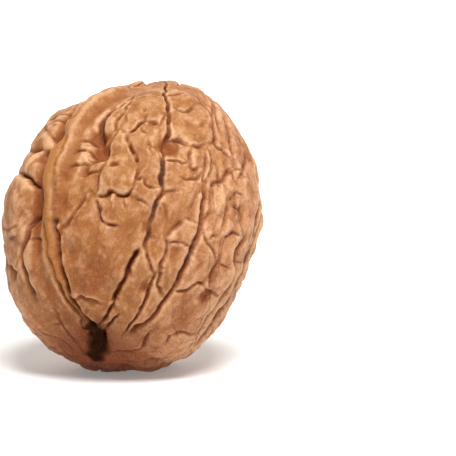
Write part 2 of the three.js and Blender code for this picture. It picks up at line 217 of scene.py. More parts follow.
# The folds beside the band, and the cracks from there to the centre furrow.
FOLD_LINES = [
    Line(0.45, 0.35, 0.15, [(7.5, 11), (10.5, 12), (13, 12), (15.5, 11), (17.5, 10)]),
    Line(0.5, 0.35, 0.2, [(7, 4), (10, 6), (14, 6), (16.5, 4), (19.5, 2), (22, 1.5)]),
    Line(0.45, 0.32, 0.15, [(6, -3.5), (7, -3), (10, -2), (14, -1), (17.5, -1.5)]),
    Line(0.5, 0.4, 0.2, [(14.5, 2), (17.5, 0.5), (20, 1), (23, 0.5), (24, -1.5)]),
    Line(0.4, 0.32, 0.1, [(13.5, -7.5), (18, -6), (21.5, -5), (24, -2)]),
    Line(0.5, 0.45, -0.3, [(24, -2), (24, 2), (23.3, 8), (22.5, 12)]),
    Line(0.8, 0.8, 0, [(22, 48), (21.5, 42), (21, 34.5), (18, 32), (16.5, 27), (16, 21.5), (18.5, 12)]),
    Line(0.5, 0.35, 0, [(25, 46), (25.5, 39), (24.5, 31.5), (23.7, 26), (23, 22), (23.5, 17)]),
    Line(0.35, 0.3, 0, [(25.5, 27), (26.5, 24), (27, 21)]),
    Line(0.35, 0.3, 0, [(24.5, 18), (25, 16), (24, 13), (23, 11)]),
    Line(0.35, 0.3, 0, [(27.5, 34), (31, 35), (33.5, 33.5), (35, 31), (35.5, 27), (36, 25)]),
    Line(0.65, 0.38, -0.2, [(43.5, 22.3), (43, 22.5), (41, 24), (38, 25), (36, 25)]),
    Line(0.75, 0.4, -0.2, [(37, 25.2), (36, 25), (34, 23.5), (33, 20.5), (32, 18), (30, 15)]),
    Line(0.75, 0.4, 0, [(30, 16), (30, 15), (31, 12.5), (32.7, 9.5), (35, 6), (37.5, 1.5), (38.3, -1)]),
    Line(0.5, 0.4, 0, [(30, 15), (28, 16.5), (26, 18)]),
    Line(0.4, 0.3, 0.1, [(35, 20), (36.5, 17.5), (39.5, 16)]),
    Line(0.4, 0.3, 0.1, [(40, 14), (41, 11), (44, 11)]),
    Line(0.35, 0.3, 0, [(42, 10), (42, 8), (42.7, 7)]),
    Line(0.45, 0.32, -0.1, [(38.5, -2), (39, -7.3), (42, -6), (43, -8), (46, -9), (48.5, -8)]),
]

# Round the raised block, and the plates below it.
BLOCK_LINES = [
    Line(0.5, 0.4, 0.3, [(22, -5.5), (22.3, -9), (23, -12), (23.3, -15.5), (24, -17)]),
    Line(1.0, 0.42, 0.5, [(23.5, -16.8), (25.5, -17), (27.2, -16.3), (28.5, -15), (30, -14.5), (32, -15)]),
    Line(1.0, 0.42, 0.5, [(31, -14.7), (32, -15), (34.5, -15), (37, -14), (38.3, -11.5)]),
    Line(0.4, 0.4, 0.2, [(38.3, -12), (38.6, -9), (38.2, -5.5)]),
    Line(0.5, 0.35, 0.1, [(17, -16.3), (19.5, -14.6), (22.5, -16), (24, -17)]),
    Line(0.6, 0.38, 0, [(17.5, -16.5), (17, -19), (14.3, -23), (13, -26.3), (10, -29), (7, -31), (6, -34)]),
    Line(
        0.55, 0.32, 0.1,
        [(23, -17.5), (25, -21.5), (26.5, -24.5), (28.5, -27.3), (31.5, -28.6), (36.7, -28)],
    ),
    Line(0.4, 0.35, 0, [(25, -19.5), (26.2, -22), (27.3, -25)]),
    Line(0.3, 0.35, 0, [(35.5, -15.5), (37, -20), (39, -23)]),
    Line(0.3, 0.28, 0, [(38, -14.5), (41, -15.5), (45, -16.2), (48, -18)]),
    Line(0.25, 0.3, 0, [(26, -29), (27.5, -33)]),
    Line(0.5, 0.3, 0.25, [(9.5, -58.7), (14.5, -58.6), (17, -57.6), (22, -58.2), (27, -58), (34.5, -59.2)]),
    Line(0.3, 0.35, 0, [(37, -53), (39, -51), (42.5, -49)]),
]

# The edges of the band, which become deep grooves where it sinks towards the scar.
BAND_LINES = [
    Line(0.45, 0.35, 0, [(2.8, 14), (2.2, 4), (1.6, -5), (1.8, -12), (2.3, -18), (3, -26)]),
    Line(1.1, 0.7, 0, [(3, -25), (4, -31.5), (5, -37), (5.3, -43), (6, -48), (7.3, -53.5), (9.5, -59)]),
    Line(1.2, 0.8, 0, [(8.5, -57), (9.5, -59), (13, -63), (18, -67), (24, -70), (31, -73)]),
    Line(0.35, 0.35, 0, [(-4.3, 2), (-4.6, -8), (-4.8, -18), (-4, -25)]),
    Line(0.5, 0.5, 0, [(-3.2, -25), (-2, -30.5), (-0.7, -36), (-0.3, -41), (0.8, -47), (1.3, -52)]),
    Line(0.7, 0.6, 0, [(1, -49), (1.3, -52), (3.5, -57), (7.5, -61.5), (11, -65.5), (16, -69)]),
    Line(0.4, 0.35, 0, [(5, -29), (5.7, -32.5), (5.2, -36)]),
]

# Left of the band: the oval bulge with its valley, and the dents above it.
LEFT_LINES = [
    Line(1.1, 0.42, -0.3, [(-46, 9), (-36, 5), (-25, 0), (-18, -4), (-12, -8.8), (-8, -11.5)]),
    Line(1.2, 0.95, 0, [(-8, -11), (-6.8, -16), (-6.5, -19), (-9, -23), (-14, -25.5), (-16.5, -29)]),
    Line(0.6, 1.1, 0, [(-15.5, -27), (-17.8, -34), (-22, -37), (-22.5, -41), (-21.5, -46), (-23.3, -56)]),
    Line(0.35, 0.32, 0, [(-42.5, -18), (-31, -24), (-22, -25)]),
    Line(0.3, 0.3, 0, [(-34, -26.5), (-23, -30)]),
    Line(0.7, 0.38, 0.3, [(-47, -34.5), (-39, -38.5), (-34, -42), (-30, -43)]),
    Line(0.3, 0.4, 0, [(-36.5, -42), (-41, -46)]),
    Line(0.4, 0.32, 0.1, [(-13.5, -33), (-8, -34), (-3.5, -35.3)]),
    Line(0.5, 0.4, 0, [(-16, 21), (-10, 16), (-4, 11.2)]),
    Line(0.45, 0.4, 0, [(-4, 11.2), (-3, 13.3), (-2, 16), (0, 18.2)]),
    Line(0.5, 0.4, 0, [(-14.5, 10.5), (-13, 9), (-10, 7), (-7, 3.8)]),
    Line(0.3, 0.3, 0, [(-13, 4), (-9.5, 2), (-5.5, 0)]),
    Line(0.35, 0.3, 0, [(-6.5, 27.3), (-4, 25.7), (-1.5, 24), (1.5, 24.7)]),
    Line(0.35, 0.4, 0, [(-30, 33), (-20, 33.7), (-9, 31), (-3, 29)]),
    Line(0.45, 0.4, 0.1, [(-28.5, 28), (-20, 28.5), (-13.5, 28), (-3, 24)]),
    Line(0.5, 0.8, 0, [(-40, 21), (-26, 14.3), (-15, 11.3)]),
    Line(0.4, 0.5, 0, [(-34, 33), (-24, 26.5), (-16, 21)]),
    Line(0.3, 0.35, 0, [(-50, -55), (-49, -59.5), (-51, -63)]),
    Line(0.3, 0.3, 0, [(-25.5, -67), (-17, -69), (-10, -69.5)]),
]

FRONT_LINES = [
    *CENTRE_LINES, *MIDDLE_LINES, *LONG_FURROW_LINES, *RIGHT_LINES,
    *FOLD_LINES, *BLOCK_LINES, *BAND_LINES, *LEFT_LINES,
]

# Pits, drawn deeper than listed by one factor.
PIT_DEEPENING = 1.4
PITS = [
    Mound((17.5, 13.5), 1.7, -1.3),
    Mound((20.5, 5.5), 1.5, -1.1),
    Mound((15, -5), 1.1, -0.5),
    Mound((28.3, -2), 0.4, -0.5),
    Mound((-9, -19), 2.2, -0.7),
    Mound((-10, -27), 2.2, -0.4),
    Mound((-5, 13.5), 1.5, -1.2),
    Mound((-12, 7.5), 1.2, -0.9),
    Mound((50, 13), 1.6, -1.0),
    Mound((94.5, -40), 1.0, -0.5),
    Mound((86, -47.5), 1.7, -0.4),
    Mound((57.3, -48.5), 0.8, -0.35),
    Mound((65, -31), 0.8, -0.2),
]
# Broad pads and dents, most of which shape the outline.
PADS = [
    Mound((30, -9), 2.2, 0.8),
    Mound((-26, -11), 5.0, 0.6),
    Mound((-38, 17), 4.0, -0.2),
    Mound((-28, 33), 5.0, 0.5),
    Mound((70, 58), 8.0, 0.6),
    Mound((6, 57), 7.0, -1.4),
    Mound((48, 66), 5.0, 0.5),
    Mound((122, 15), 4.5, 0.4),
    Mound((-48, -35), 6.0, -0.35),
    Mound((147, -70), 4.0, -0.4),
    Mound((118, -60), 8.0, 0.6),
    Mound((130, -62), 5.0, 0.5),
    Mound((122, -7), 8.0, -0.7),
    Mound((108, 36), 5.0, 0.4),
    Mound((-25, -74), 4.0, -0.4),
    Mound((-16, 40), 4.0, -0.3),
    Mound((-52, -56), 5.0, 0.7),
]
SCAR = Mound((28, -79), 3.0, -1.7)
APEX_TIP = Mound((0, 90), 1.5, 0.25)
RESTING_PAD = Mound((196, -49), 5.5, 1.4)

# Where dark stain has settled in the furrows.
STAIN_ROUTES = [
    [(48.2, 4), (49, -2), (50.5, -8)],
    [(50, -15), (49.6, -20), (50.2, -30)],
    [(72.4, -24), (72.3, -34)],
]
STAIN_HALF_WIDTH = 0.38

# Dull smudges on the plates, where the height is how dark each one is. Those beside the furrows near the scar
# are painted shade.
SMUDGES_AND_SHADE = [
    Mound((29, -46), 1.8, 1.0),
    Mound((16, -45), 1.3, 0.5),
    Mound((24.5, -52), 2.2, 0.9),
    Mound((21, -29.5), 1.1, 0.6),
    Mound((35, -31.5), 1.1, 0.5),
    Mound((30, -39), 1.5, 0.5),
    Mound((95, -49.5), 1.6, 0.6),
    Mound((117.5, -30), 2.6, 0.7),
    Mound((-3, -28), 2.4, 0.7),
    Mound((-13, -26), 2.8, 1.0),
    Mound((4, -62), 3.0, 0.9),
    Mound((20, -85), 4.0, 0.9),
    Mound((-4, -54), 2.5, 0.5),
    Mound((51, -20), 1.8, 0.5),
    Mound((53, 40), 1.6, 0.4),
    Mound((88, 36), 1.8, 0.4),
]

# Where the fibres of the scar lie.
SCAR_ROUTE = [(24, -73), (28, -77), (33, -81.5), (10, -87)]
SCAR_HALF_WIDTH = 1.7

# The hidden cheeks: furrows at an even step of longitude, and cracks that cross between neighbours.
CHEEK_LONGITUDES = np.linspace(120, 305, 13)
CHEEK_WANDER = 6
CHEEK_POINTS = 8
CHEEK_TOP = (44, 66)
CHEEK_BOTTOM = (-66, -46)
CHEEK_DEPTH = (0.7, 1.3)
CHEEK_HALF_WIDTH = 0.7
CRACK_LATITUDES = (44, 22, 0, -22, -44)
CRACK_WANDER = 9
CRACK_POINTS = 4
CRACK_DEPTH = (0.4, 0.8)
CRACK_HALF_WIDTH = 0.38
BACK_SUTURE_LONGITUDE = 180
SUTURE_CLEARANCE = 9

# Short creases that gather at the apex and at the base.
END_CREASES = 11
END_CREASE_WANDER = 9
END_CREASE_DEPTH = (0.35, 0.75)
END_CREASE_HALF_WIDTH = 0.45
APEX_LATITUDES = (80, 70, 58)
BASE_LATITUDES = (-81, -72, -62)
APEX_SEED = 300
BASE_SEED = 400

# The grid that carries the shell: rings from base to apex, with the front's columns closer together.
RINGS = 300
COLUMNS = 330
DENSE_LONGITUDE = 38
DENSE_SHARE = 0.6
ROUTE_STEPS = 8
CREST_PATCH = (2, 3)  # rings and columns, about 0.4 mm to either side
HOLLOW_PATCH = (6, 8)  # about 1.2 mm to either side

# How the lines shape the plates between them, in millimetres or as shares.
LINE_REACH = 6.0  # how far past its own extent a line is felt
LINE_NARROWING = 0.46
THINNEST = 0.21  # half width of the finest cracks, drawn coarser than real so that the grid carries them
FOLD_STEEPNESS = 2.5
# Painted shade along each line, partly the shell's own dark brown: its width against the trough's, the depth
# for full shade, and the least share.
DARK_WIDTH = 0.7
DARK_DEPTH = 0.8  # lines this deep are fully dark
FAINTEST = 0.55
PUFF_SHARE = 0.52
PUFF_WIDTH = 1.2
PUFF_DEPTH = 0.45  # lines this deep pull the plates down fully
PUFF_MEAN = 0.25
LIP_SHARE = 0.7
LIP_WIDTH = 1.6
LIP_STEP = 0.2
LINE_TAPER = 1.1
LINE_END_SHARE = 0.35

ROUNDNESS = 2.05  # 2 is an ellipsoid, and more is boxier
BAND_VALLEY_DEPTH = 0.3
BAND_VALLEY_OFFSET = 2.4
BAND_VALLEY_HALF_WIDTH = 0.9
BAND_SINKS_FROM = -20
BAND_SUNK_BY = -45

# The net of fine plates: cells longer than wide, plain on the hidden side and faint on the front.
NET_CELLS = 420
NET_STRETCH = 1.7
NET_SHAKE = 1.3
NET_SEED = 7
NET_PARTS = 40  # the points are measured in this many parts, to spare memory
NET_HALF_WIDTH = 0.35
GOLDEN_ANGLE = 137.508  # degrees
NET_DEPTH_BACK = 0.22
NET_DEPTH_FRONT = 0.1
FRONT_EDGES = (-62, 128)
FRONT_FADE = 18

NOISE_TABLE = 4096
NOISE_STEPS = np.array((1619, 31337, 6971))

# Noise that shakes the lines sideways along each axis, and noise in the relief.
SHAKES = [
    [Ripple(0.22, 1.3, 1), Ripple(0.07, 0.5, 4)],
    [Ripple(0.22, 1.3, 2), Ripple(0.07, 0.5, 5)],
    [Ripple(0.22, 1.3, 3), Ripple(0.07, 0.5, 6)],
]
LUMPS = [Ripple(0.36, 4.2, 11), Ripple(0.24, 2.0, 12), Ripple(0.07, 0.9, 13), Ripple(0.035, 0.45, 17)]
FIBRES = [Ripple(0.04, 0.55, 14)]
FIBRE_SQUEEZE = (1, 1, 0.22)
SCAR_FRAY = [Ripple(0.3, 0.8, 16)]
SCAR_EDGE = (0.2, 0.8)

# How strongly the relief is painted into colour: painted shade in hollows and pits, painted highlight on
# crests.
HOLLOW_SHADE_GAIN = 1.8
PIT_SHADE = 0.45
CREST_HIGHLIGHT_GAIN = 6.0
CREST_LOSS = 0.8

# Where colours lie on the shell, in degrees of longitude or latitude.
GOLD_MIDDLE = 15
GOLD_FADES = (30, 80)
GOLD_EDGE = [Ripple(12, 7.0, 15)]
BAND_STARTS = (-75, -55)
BAND_PALES = (10, 40)
BAND_PALES_BY = 0.75
# Darker and redder towards the base: partly the shell's own tone, partly painted shade of the underside.
BASE_TINT = 0.25
BASE_TINT_GROWS = (15, -50)
BASE_TONE_AND_SHADE_GROWS = (-58, -80)

# Noises of the shell's colour. Specks, fibres and dust are drawn coarser than real, to show in a picture.
SHELL_PATCHES = {
    "mottle": Patches(2.4, 5.0, 0.62),
    "cloud": Patches(5.5, 3.0, 0.55),
    "specks": Patches(0.5, 3.0, 0.7),
    "fibre": Patches(0.35, 3.0, 0.6, 14.0),
    "dust": Patches(0.22, 2.0, 0.6),
    "bend": Patches(1.8, 3.0, 0.6),
}

# Hairline cracks: cells of a Voronoi net bent by noise, plainest away from the golden plates.
HAIRLINE_CELL = 2.4
HAIRLINE_HALF_WIDTH = 0.12
HAIRLINE_SQUEEZE = 0.6
HAIRLINE_BEND = 3.0

# Patterns as ramps of others: two values of a pattern, and the result at each.
SHELL_RAMPS = {
    "hairline": ("cell_edge", (0, HAIRLINE_HALF_WIDTH / HAIRLINE_CELL, 1, 0)),
    "off_gold": ("gold", (0, 0.8, 0.8, 0)),
    "roughness": ("mottle", (0.3, 0.7, 0.52, 0.68)),
    "shine": ("scar", (0, 1, 0.32, 0.02)),
}
# Layers on the crest pattern lay painted highlight with wear, those on the hollow and groove patterns painted
# shade, and the one on the base pattern partly painted shade.
SHELL_LAYERS = [
    Layer("plate_gold", "gold", (0, 1, 0, 1)),
    Layer("plate_dark", "mottle", (0.48, 0.68, 0, 0.75)),
    Layer("crest_wear_and_highlight", "mottle", (0.3, 0.48, 0.55, 0)),
    Layer("hollow_brown_and_shade", "cloud", (0.55, 0.75, 0, 0.5)),
    Layer("plate_dark", "fibre", (0.5, 0.75, 0, 0.35)),
    Layer("hollow_brown_and_shade", "specks", (0.35, 0.65, 0.2, 0.8), "smudge_and_shade"),
    Layer("crest_wear_and_highlight", "crest_wear_and_highlight", (0.12, 1, 0, 0.75)),
    Layer("band", "band", (0, 1, 0, 0.9)),
    Layer("hollow_brown_and_shade", "hollow_brown_and_shade", (0.05, 0.8, 0, 0.9)),
    Layer("base", "base", (0, 1, 0, 0.92)),
    Layer("hollow_brown_and_shade", "specks", (0.55, 0.75, 0, 0.35)),
    Layer("crest_wear_and_highlight", "dust", (0.3, 0.5, 0.12, 0)),
    Layer("hollow_brown_and_shade", "dust", (0.5, 0.7, 0, 0.3)),
    Layer("groove_brown_and_shade", "hairlines", (0, 1, 0, 0.35)),
    Layer("groove_brown_and_shade", "groove_brown_and_shade", (0.05, 1, 0, 0.9)),
    Layer("stain", "specks", (0.35, 0.6, 0.3, 0.8), "stain"),
    Layer("scar", "scar", (0, 1, 0, 0.95)),
    Layer("fibre", "fibre", (0.6, 0.72, 0, 0.5), "scar"),
]
BUMP_SHARES = {"fibre": 0.6, "specks": 0.5, "hairlines": -1.0}
BUMP_STRENGTH = 0.6
BUMP_HEIGHT = 0.2
SHELL_IOR = 1.45

# Sockets of the Map Range node, and of the Mix node in its colour mode.
RAMP_SOCKETS = ("From Min", "From Max", "To Min", "To Max")
MIX_FACTOR, MIX_A, MIX_B, MIX_RESULT = 0, 6, 7, 2

# The stage, in metres, with the nut where the photograph has it.
FLOOR_WIDTH = 3.0
BACKDROP_WIDTH = 1.6
BACKDROP_MIDDLE = (0, 1.2, 0.4)
BACKDROP_GLOW = 1.2
STAGE_ROUGHNESS = 0.9
STAGE_SHINE = 0.1
NEAREST_SEEN = 0.01
KEY_FROM = Vector((0.14, -0.42, 0.88))  # direction in which the key light stands
IMAGE_WIDTH = 456  # pixels
MM_PER_PIXEL = 0.14  # in the plane through the point that the camera looks at
CAMERA_AIM = Vector((13.4, 0, 19.3)) * MM


def linear(code):
    """An sRGB hex colour as linear red, green and blue."""
    srgb = np.array([int(code[k:k + 2], 16) for k in (1, 3, 5)]) / 255
    return tuple(np.where(srgb <= 0.04045, srgb / 12.92, ((srgb + 0.055) / 1.055) ** 2.4))


def length(name, description, millimetres):
    """A length that the sidebar shows in the scene's units."""
    return bpy.props.FloatProperty(
        name=name, description=description, default=millimetres * MM, unit="LENGTH", precision=4
    )


def angle(name, description, degrees):
    """An angle that the sidebar shows in degrees."""
    return bpy.props.FloatProperty(
        name=name, description=description, default=np.radians(degrees), unit="ROTATION"
    )


def colour(name, description, code):
    """A colour that the sidebar shows as a swatch."""
    return bpy.props.FloatVectorProperty(
        name=name, description=description, default=linear(code), size=3, subtype="COLOR", min=0, max=1
    )


def amount(name, description, default):
    """A plain number."""
    return bpy.props.FloatProperty(name=name, description=description, default=default, min=0)


class WalnutSizes(bpy.types.PropertyGroup):
    """The nut's driving dimensions and how it lies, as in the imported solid."""

    apex_half_length: length("Middle to apex", "Half length towards the apex", 21.4)
    base_half_length: length("Middle to base", "Half length towards the base scar", 20.6)
    suture_half_width: length("Middle to suture", "Half width across the two sutures", 17.2)
    cheek_half_width: length("Middle to cheek", "Half width across the two cheeks", 18.0)
    centre_height: length("Centre height", "Middle of the nut above its flat spot", 19.5)
    band_half_width: length("Band half width", "Half width of the suture band", 1.25)
    band_height: length("Band height", "How far the suture band stands out", 0.8)
    lean: angle("Lean", "Axis of the nut away from the vertical", 35)
    lean_towards: angle("Lean towards", "Direction in which the apex leans, counted from +X", 71.3)
    turn: angle("Turn", "Turn of the nut about its own axis", 163.2)


class WalnutColours(bpy.types.PropertyGroup):
    """Colours of the shell, in diffuse light."""

    plate: colour("Plate", "Tan of the plates", "#c78a5c")
    plate_gold: colour("Plate, golden", "Golden tan of the plates near the band", "#ae733d")
    plate_dark: colour("Plate, darker", "Darker mottling of the plates", "#95582c")
    # The crest colour is also the painted highlight on crests, besides pale wear, patches and dust.
    crest_wear_and_highlight: colour("Crest", "Pale rubbed edges of the plates", "#edba8e")
    band: colour("Band", "Golden brown of the suture band", "#a86b2b")
    # The hollow colour is also the painted shade in hollows, dents and pits, besides brown patches, specks
    # and dust.
    hollow_brown_and_shade: colour("Hollow", "Reddish brown of pits and dents", "#8a4412")
    # The groove colour is the shell's dark brown in furrows and cracks, laid on as painted shade as well.
    groove_brown_and_shade: colour("Groove", "Dark brown at the bottom of furrows and cracks", "#541c03")
    stain: colour("Stain", "Blackish stain in the centre furrow", "#44291f")
    scar: colour("Scar", "Dark fibres of the base scar", "#241006")
    fibre: colour("Scar fibre", "Pale fibres in the base scar", "#6e4a2c")
    # The base colour is laid on towards the base, partly as the shell's own tone, partly as painted shade of
    # the underside.
    base: colour("Base", "Reddish brown round the base", "#77350c")


class WalnutStage(bpy.types.PropertyGroup):
    """Floor, backdrop, lights and camera."""

    floor: colour("Floor", "Colour of the floor", "#e6e4e1")
    floor_glow: amount("Floor glow", "Light of the floor's own, which keeps its shadows pale", 0.2)
    key: amount("Key light", "Strength of the soft light from above and in front", 3.7)
    key_softness: angle("Key softness", "How wide the key light is, seen from the nut", 24)
    world: amount("Surroundings", "Strength of the even light from all round", 0.27)
    camera_distance: length("Camera distance", "From the camera to the point that it looks at", 200)
    camera_height: angle("Camera height", "Angle of the view above the floor", 5)


def chance(row, column):
    """A repeatable number from 0 to 1 for a pair of whole numbers: the loose digits of a steep sine."""
    return np.modf(1 + np.modf(np.sin(row * 127.1 + column * 311.7 + 31.7) * 43758.5453)[0])[0]


def between(limits, share):
    """The number that lies a share of the way from a lower limit to an upper one."""
    return limits[0] + (limits[1] - limits[0]) * share


def smooth_step(low, high, value):
    """0 up to low, 1 from high on, and 3t^2 - 2t^3 between them. It runs downwards where high is less."""
    t = np.clip((value - low) / (high - low), 0, 1)
    return t * t * (3 - 2 * t)


def bell(distance, half_width):
    """A bell curve: e to the minus square of distance over half width."""
    return np.exp(-((distance / half_width) ** 2))


def unit_vectors(longitude, latitude):
    """Directions from the middle of the nut, from longitude and latitude in degrees."""
    lon, lat = np.radians(longitude), np.radians(latitude)
    return np.stack([np.cos(lat) * np.cos(lon), np.cos(lat) * np.sin(lon), np.sin(lat)], axis=-1)


def smooth_nut(vectors, sizes):
    """Superellipsoid: the point in each direction where |z/c|^n + hypot(x/a, y/b)^n is 1."""
    towards = vectors / np.linalg.norm(vectors, axis=-1, keepdims=True)
    x, y, z = np.moveaxis(towards, -1, 0)
    half_length = np.where(z > 0, sizes.apex_half_length, sizes.base_half_length) / MM
    across = np.hypot(x / (sizes.suture_half_width / MM), y / (sizes.cheek_half_width / MM))
    radius = (np.abs(z / half_length) ** ROUNDNESS + across**ROUNDNESS) ** (-1 / ROUNDNESS)
    return towards * radius[..., None]


def line_on_nut(route, sizes):
    """Catmull-Rom curve through a route's points, laid on the smooth nut."""
    points = smooth_nut(unit_vectors(*np.array(route, float).T), sizes)
    ends = 2 * points[[0, -1]] - points[[1, -2]]
    knots = np.vstack([ends[:1], points, ends[1:]])
    before, here, there, after = knots[:-3], knots[1:-2], knots[2:-1], knots[3:]
    t = (np.arange(ROUTE_STEPS) / ROUTE_STEPS)[:, None, None]
    curve = here + 0.5 * t * (
        there - before
        + t * (2 * before - 5 * here + 4 * there - after)
        + t * t * (3 * here - before - 3 * there + after)
    )
    curve = np.moveaxis(curve, 0, 1).reshape(-1, 3)
    return smooth_nut(np.vstack([curve, points[-1:]]), sizes)


def beside_line(points, line):
    """Which points lie within reach of a line, and for those the distance, side and way along it.

    Each stretch of the line is a straight step; a point's distance is to the nearest place on any step.
    The side is 1 on the left of the line, seen from outside the nut, and -1 on its right.
    """
    middle = line.mean(axis=0)
    radius = np.linalg.norm(line - middle, axis=1).max() + LINE_REACH
    near = np.flatnonzero(((points - middle) ** 2).sum(axis=1) < radius**2)
    here = points[near]
    starts, steps = line[:-1], np.diff(line, axis=0)
    lengths = np.linalg.norm(steps, axis=1)
    way = np.concatenate([[0], np.cumsum(lengths)])
    distance = np.full(len(near), np.inf)
    side = np.zeros(len(near))
    along = np.zeros(len(near))
    for start, step, size, gone in zip(starts, steps, lengths, way):
        offset = here - start
        share = np.clip(offset @ step / size**2, 0, 1)
        apart = np.linalg.norm(offset - share[:, None] * step, axis=1)
        closer = apart < distance
        distance[closer] = apart[closer]
        side[closer] = np.sign(np.cross(step, offset[closer]) @ start)
        along[closer] = gone + share[closer] * size
    return near, distance, side, along, way[-1]


def noise(points, size, seed):
    """Value noise from -1 to 1: a number at each corner of a lattice of cubes, blended between corners."""
    table = np.random.default_rng(seed).uniform(-1, 1, NOISE_TABLE)
    cell, share = np.divmod(points / size, 1)
    cell = cell.astype(np.int64)
    share = share * share * (3 - 2 * share)
    total = np.zeros(len(points))
    for corner in itertools.product((0, 1), repeat=3):
        weight = np.where(np.array(corner, bool), share, 1 - share).prod(axis=1)
        total += weight * table[((cell + corner) @ NOISE_STEPS) % NOISE_TABLE]
    return total


def rippled(points, layers):
    """Sum of layers of noise, each its height times value noise of its size."""
    return sum(layer.height * noise(points, layer.size, layer.seed) for layer in layers)


def net_distance(points, sizes):
    """Distance to the nearest border of a Voronoi net whose cells are stretched along the nut's axis.

    The cells' middles are spread evenly by the golden angle and then shaken. For a point whose two nearest
    middles are p and q, at distances d and e, the border is (e^2 - d^2) / (2 |p - q|) away.
    """
    count = np.arange(NET_CELLS)
    latitude = np.degrees(np.arcsin(1 - 2 * (count + 0.5) / NET_CELLS))
    middles = smooth_nut(unit_vectors(count * GOLDEN_ANGLE, latitude), sizes)
    middles += np.random.default_rng(NET_SEED).uniform(-NET_SHAKE, NET_SHAKE, middles.shape)
    squeeze = np.array((1, 1, 1 / NET_STRETCH))
    middles = middles * squeeze
    away = np.empty(len(points))
    for part in np.array_split(np.arange(len(points)), NET_PARTS):
        gaps = np.linalg.norm((points[part] * squeeze)[:, None] - middles, axis=2)
        nearest, second = np.argpartition(gaps, 1, axis=1)[:, :2].T
        rows = np.arange(len(part))
        difference = gaps[rows, second] ** 2 - gaps[rows, nearest] ** 2
        away[part] = difference / (2 * np.linalg.norm(middles[nearest] - middles[second], axis=1))
    return away


def cheek_lines():
    """Furrows of the hidden cheeks, kept clear of the back suture, and the cracks between them."""
    from_suture = CHEEK_LONGITUDES - BACK_SUTURE_LONGITUDE
    clear = np.maximum(np.abs(from_suture), SUTURE_CLEARANCE) * np.sign(from_suture)
    longitudes = BACK_SUTURE_LONGITUDE + clear
    lines = []
    for k, longitude in enumerate(longitudes):
        points = np.arange(CHEEK_POINTS)
        ends = between(CHEEK_TOP, chance(k, 1)), between(CHEEK_BOTTOM, chance(k, 2))
        wander = CHEEK_WANDER * (2 * chance(k, 10 + points) - 1)
        route = np.column_stack([longitude + wander, np.linspace(*ends, CHEEK_POINTS)])
        lines.append(Line(between(CHEEK_DEPTH, chance(k, 4)), CHEEK_HALF_WIDTH, 0, route))
    for k, (left, right) in enumerate(itertools.pairwise(longitudes)):
        if left < BACK_SUTURE_LONGITUDE < right:
            continue
        for j, latitude in enumerate(CRACK_LATITUDES):
            row = k + 50 * j
            wander = CRACK_WANDER * (2 * chance(row, 20 + np.arange(CRACK_POINTS)) - 1)
            route = np.column_stack([np.linspace(left, right, CRACK_POINTS), latitude + wander])
            lines.append(Line(between(CRACK_DEPTH, chance(row, 5)), CRACK_HALF_WIDTH, 0.1, route))
    return lines


def end_creases(latitudes, seed):
    """Creases that run out from one end of the nut, evenly round its axis."""
    lines = []
    for k in range(END_CREASES):
        wander = END_CREASE_WANDER * (2 * chance(seed + k, np.arange(len(latitudes))) - 1)
        route = np.column_stack([360 * (k + 0.5) / END_CREASES + wander, latitudes])
        depth = between(END_CREASE_DEPTH, chance(seed + k, 6))
        lines.append(Line(depth, END_CREASE_HALF_WIDTH, 0, route))
    return lines


def shell_grid():
    """Longitude and latitude of each ring and column, without the two poles.

    Longitude is u less a sine of u, so that columns crowd where the sine falls fastest, on the front.
    """
    u = 2 * np.pi * np.arange(COLUMNS) / COLUMNS
    longitude = DENSE_LONGITUDE + np.degrees(u - DENSE_SHARE * np.sin(u))
    latitude = 180 * np.arange(1, RINGS + 1) / (RINGS + 1) - 90
    return np.meshgrid(longitude, latitude)


def line_relief(points, sizes):
    """Depth cut by furrows and cracks, how dark they are, how far plates sink, and standing lips.

    A line's trough is half a bell and half a sharp fold, e to the minus distance. Its painted shade, partly
    the shell's own dark brown, lies in a narrower bell. The deepest and the most shaded line count at each
    point.
    Plates sink a little towards a line, and a lip adds to one side what it takes from the other, fading with
    distance.
    """
    cut = np.zeros(len(points))
    dark = np.zeros(len(points))
    puff = np.zeros(len(points))
    lips = np.zeros(len(points))
    lines = [*FRONT_LINES, *cheek_lines(), *end_creases(APEX_LATITUDES, APEX_SEED)]
    for line in [*lines, *end_creases(BASE_LATITUDES, BASE_SEED)]:
        near, distance, side, along, whole = beside_line(points, line_on_nut(line.route, sizes))
        from_end = np.minimum(along, whole - along)
        taper = LINE_END_SHARE + (1 - LINE_END_SHARE) * smooth_step(0, LINE_TAPER, from_end)
        width = max(LINE_NARROWING * line.half_width, THINNEST)
        trough = 0.5 * bell(distance, width) + 0.5 * np.exp(-FOLD_STEEPNESS * distance / width)
        cut[near] = np.maximum(cut[near], line.depth * taper * trough)
        # Painted shade in the line, partly the shell's own dark brown.
        shade = np.clip(line.depth / DARK_DEPTH, FAINTEST, 1) * taper * bell(distance, DARK_WIDTH * width)
        dark[near] = np.maximum(dark[near], shade)
        sinks = PUFF_SHARE * line.depth * min(1, line.depth / PUFF_DEPTH) * taper
        puff[near] = np.maximum(puff[near], sinks * np.exp(-distance / PUFF_WIDTH))
        fading = smooth_step(0, LINE_TAPER, from_end) * np.exp(-distance / LIP_WIDTH)
        lips[near] += LIP_SHARE * line.lip * side * fading * smooth_step(0, LIP_STEP, distance)
    return cut, dark, puff, lips


def mound_relief(points, mounds, sizes):
    """Sum of the mounds: each one's height times a bell of the distance from its place."""
    total = np.zeros(len(points))
    for mound in mounds:
        middle = smooth_nut(unit_vectors(*mound.place), sizes)
        total += mound.height * bell(np.linalg.norm(points - middle, axis=1), mound.radius)
    return total


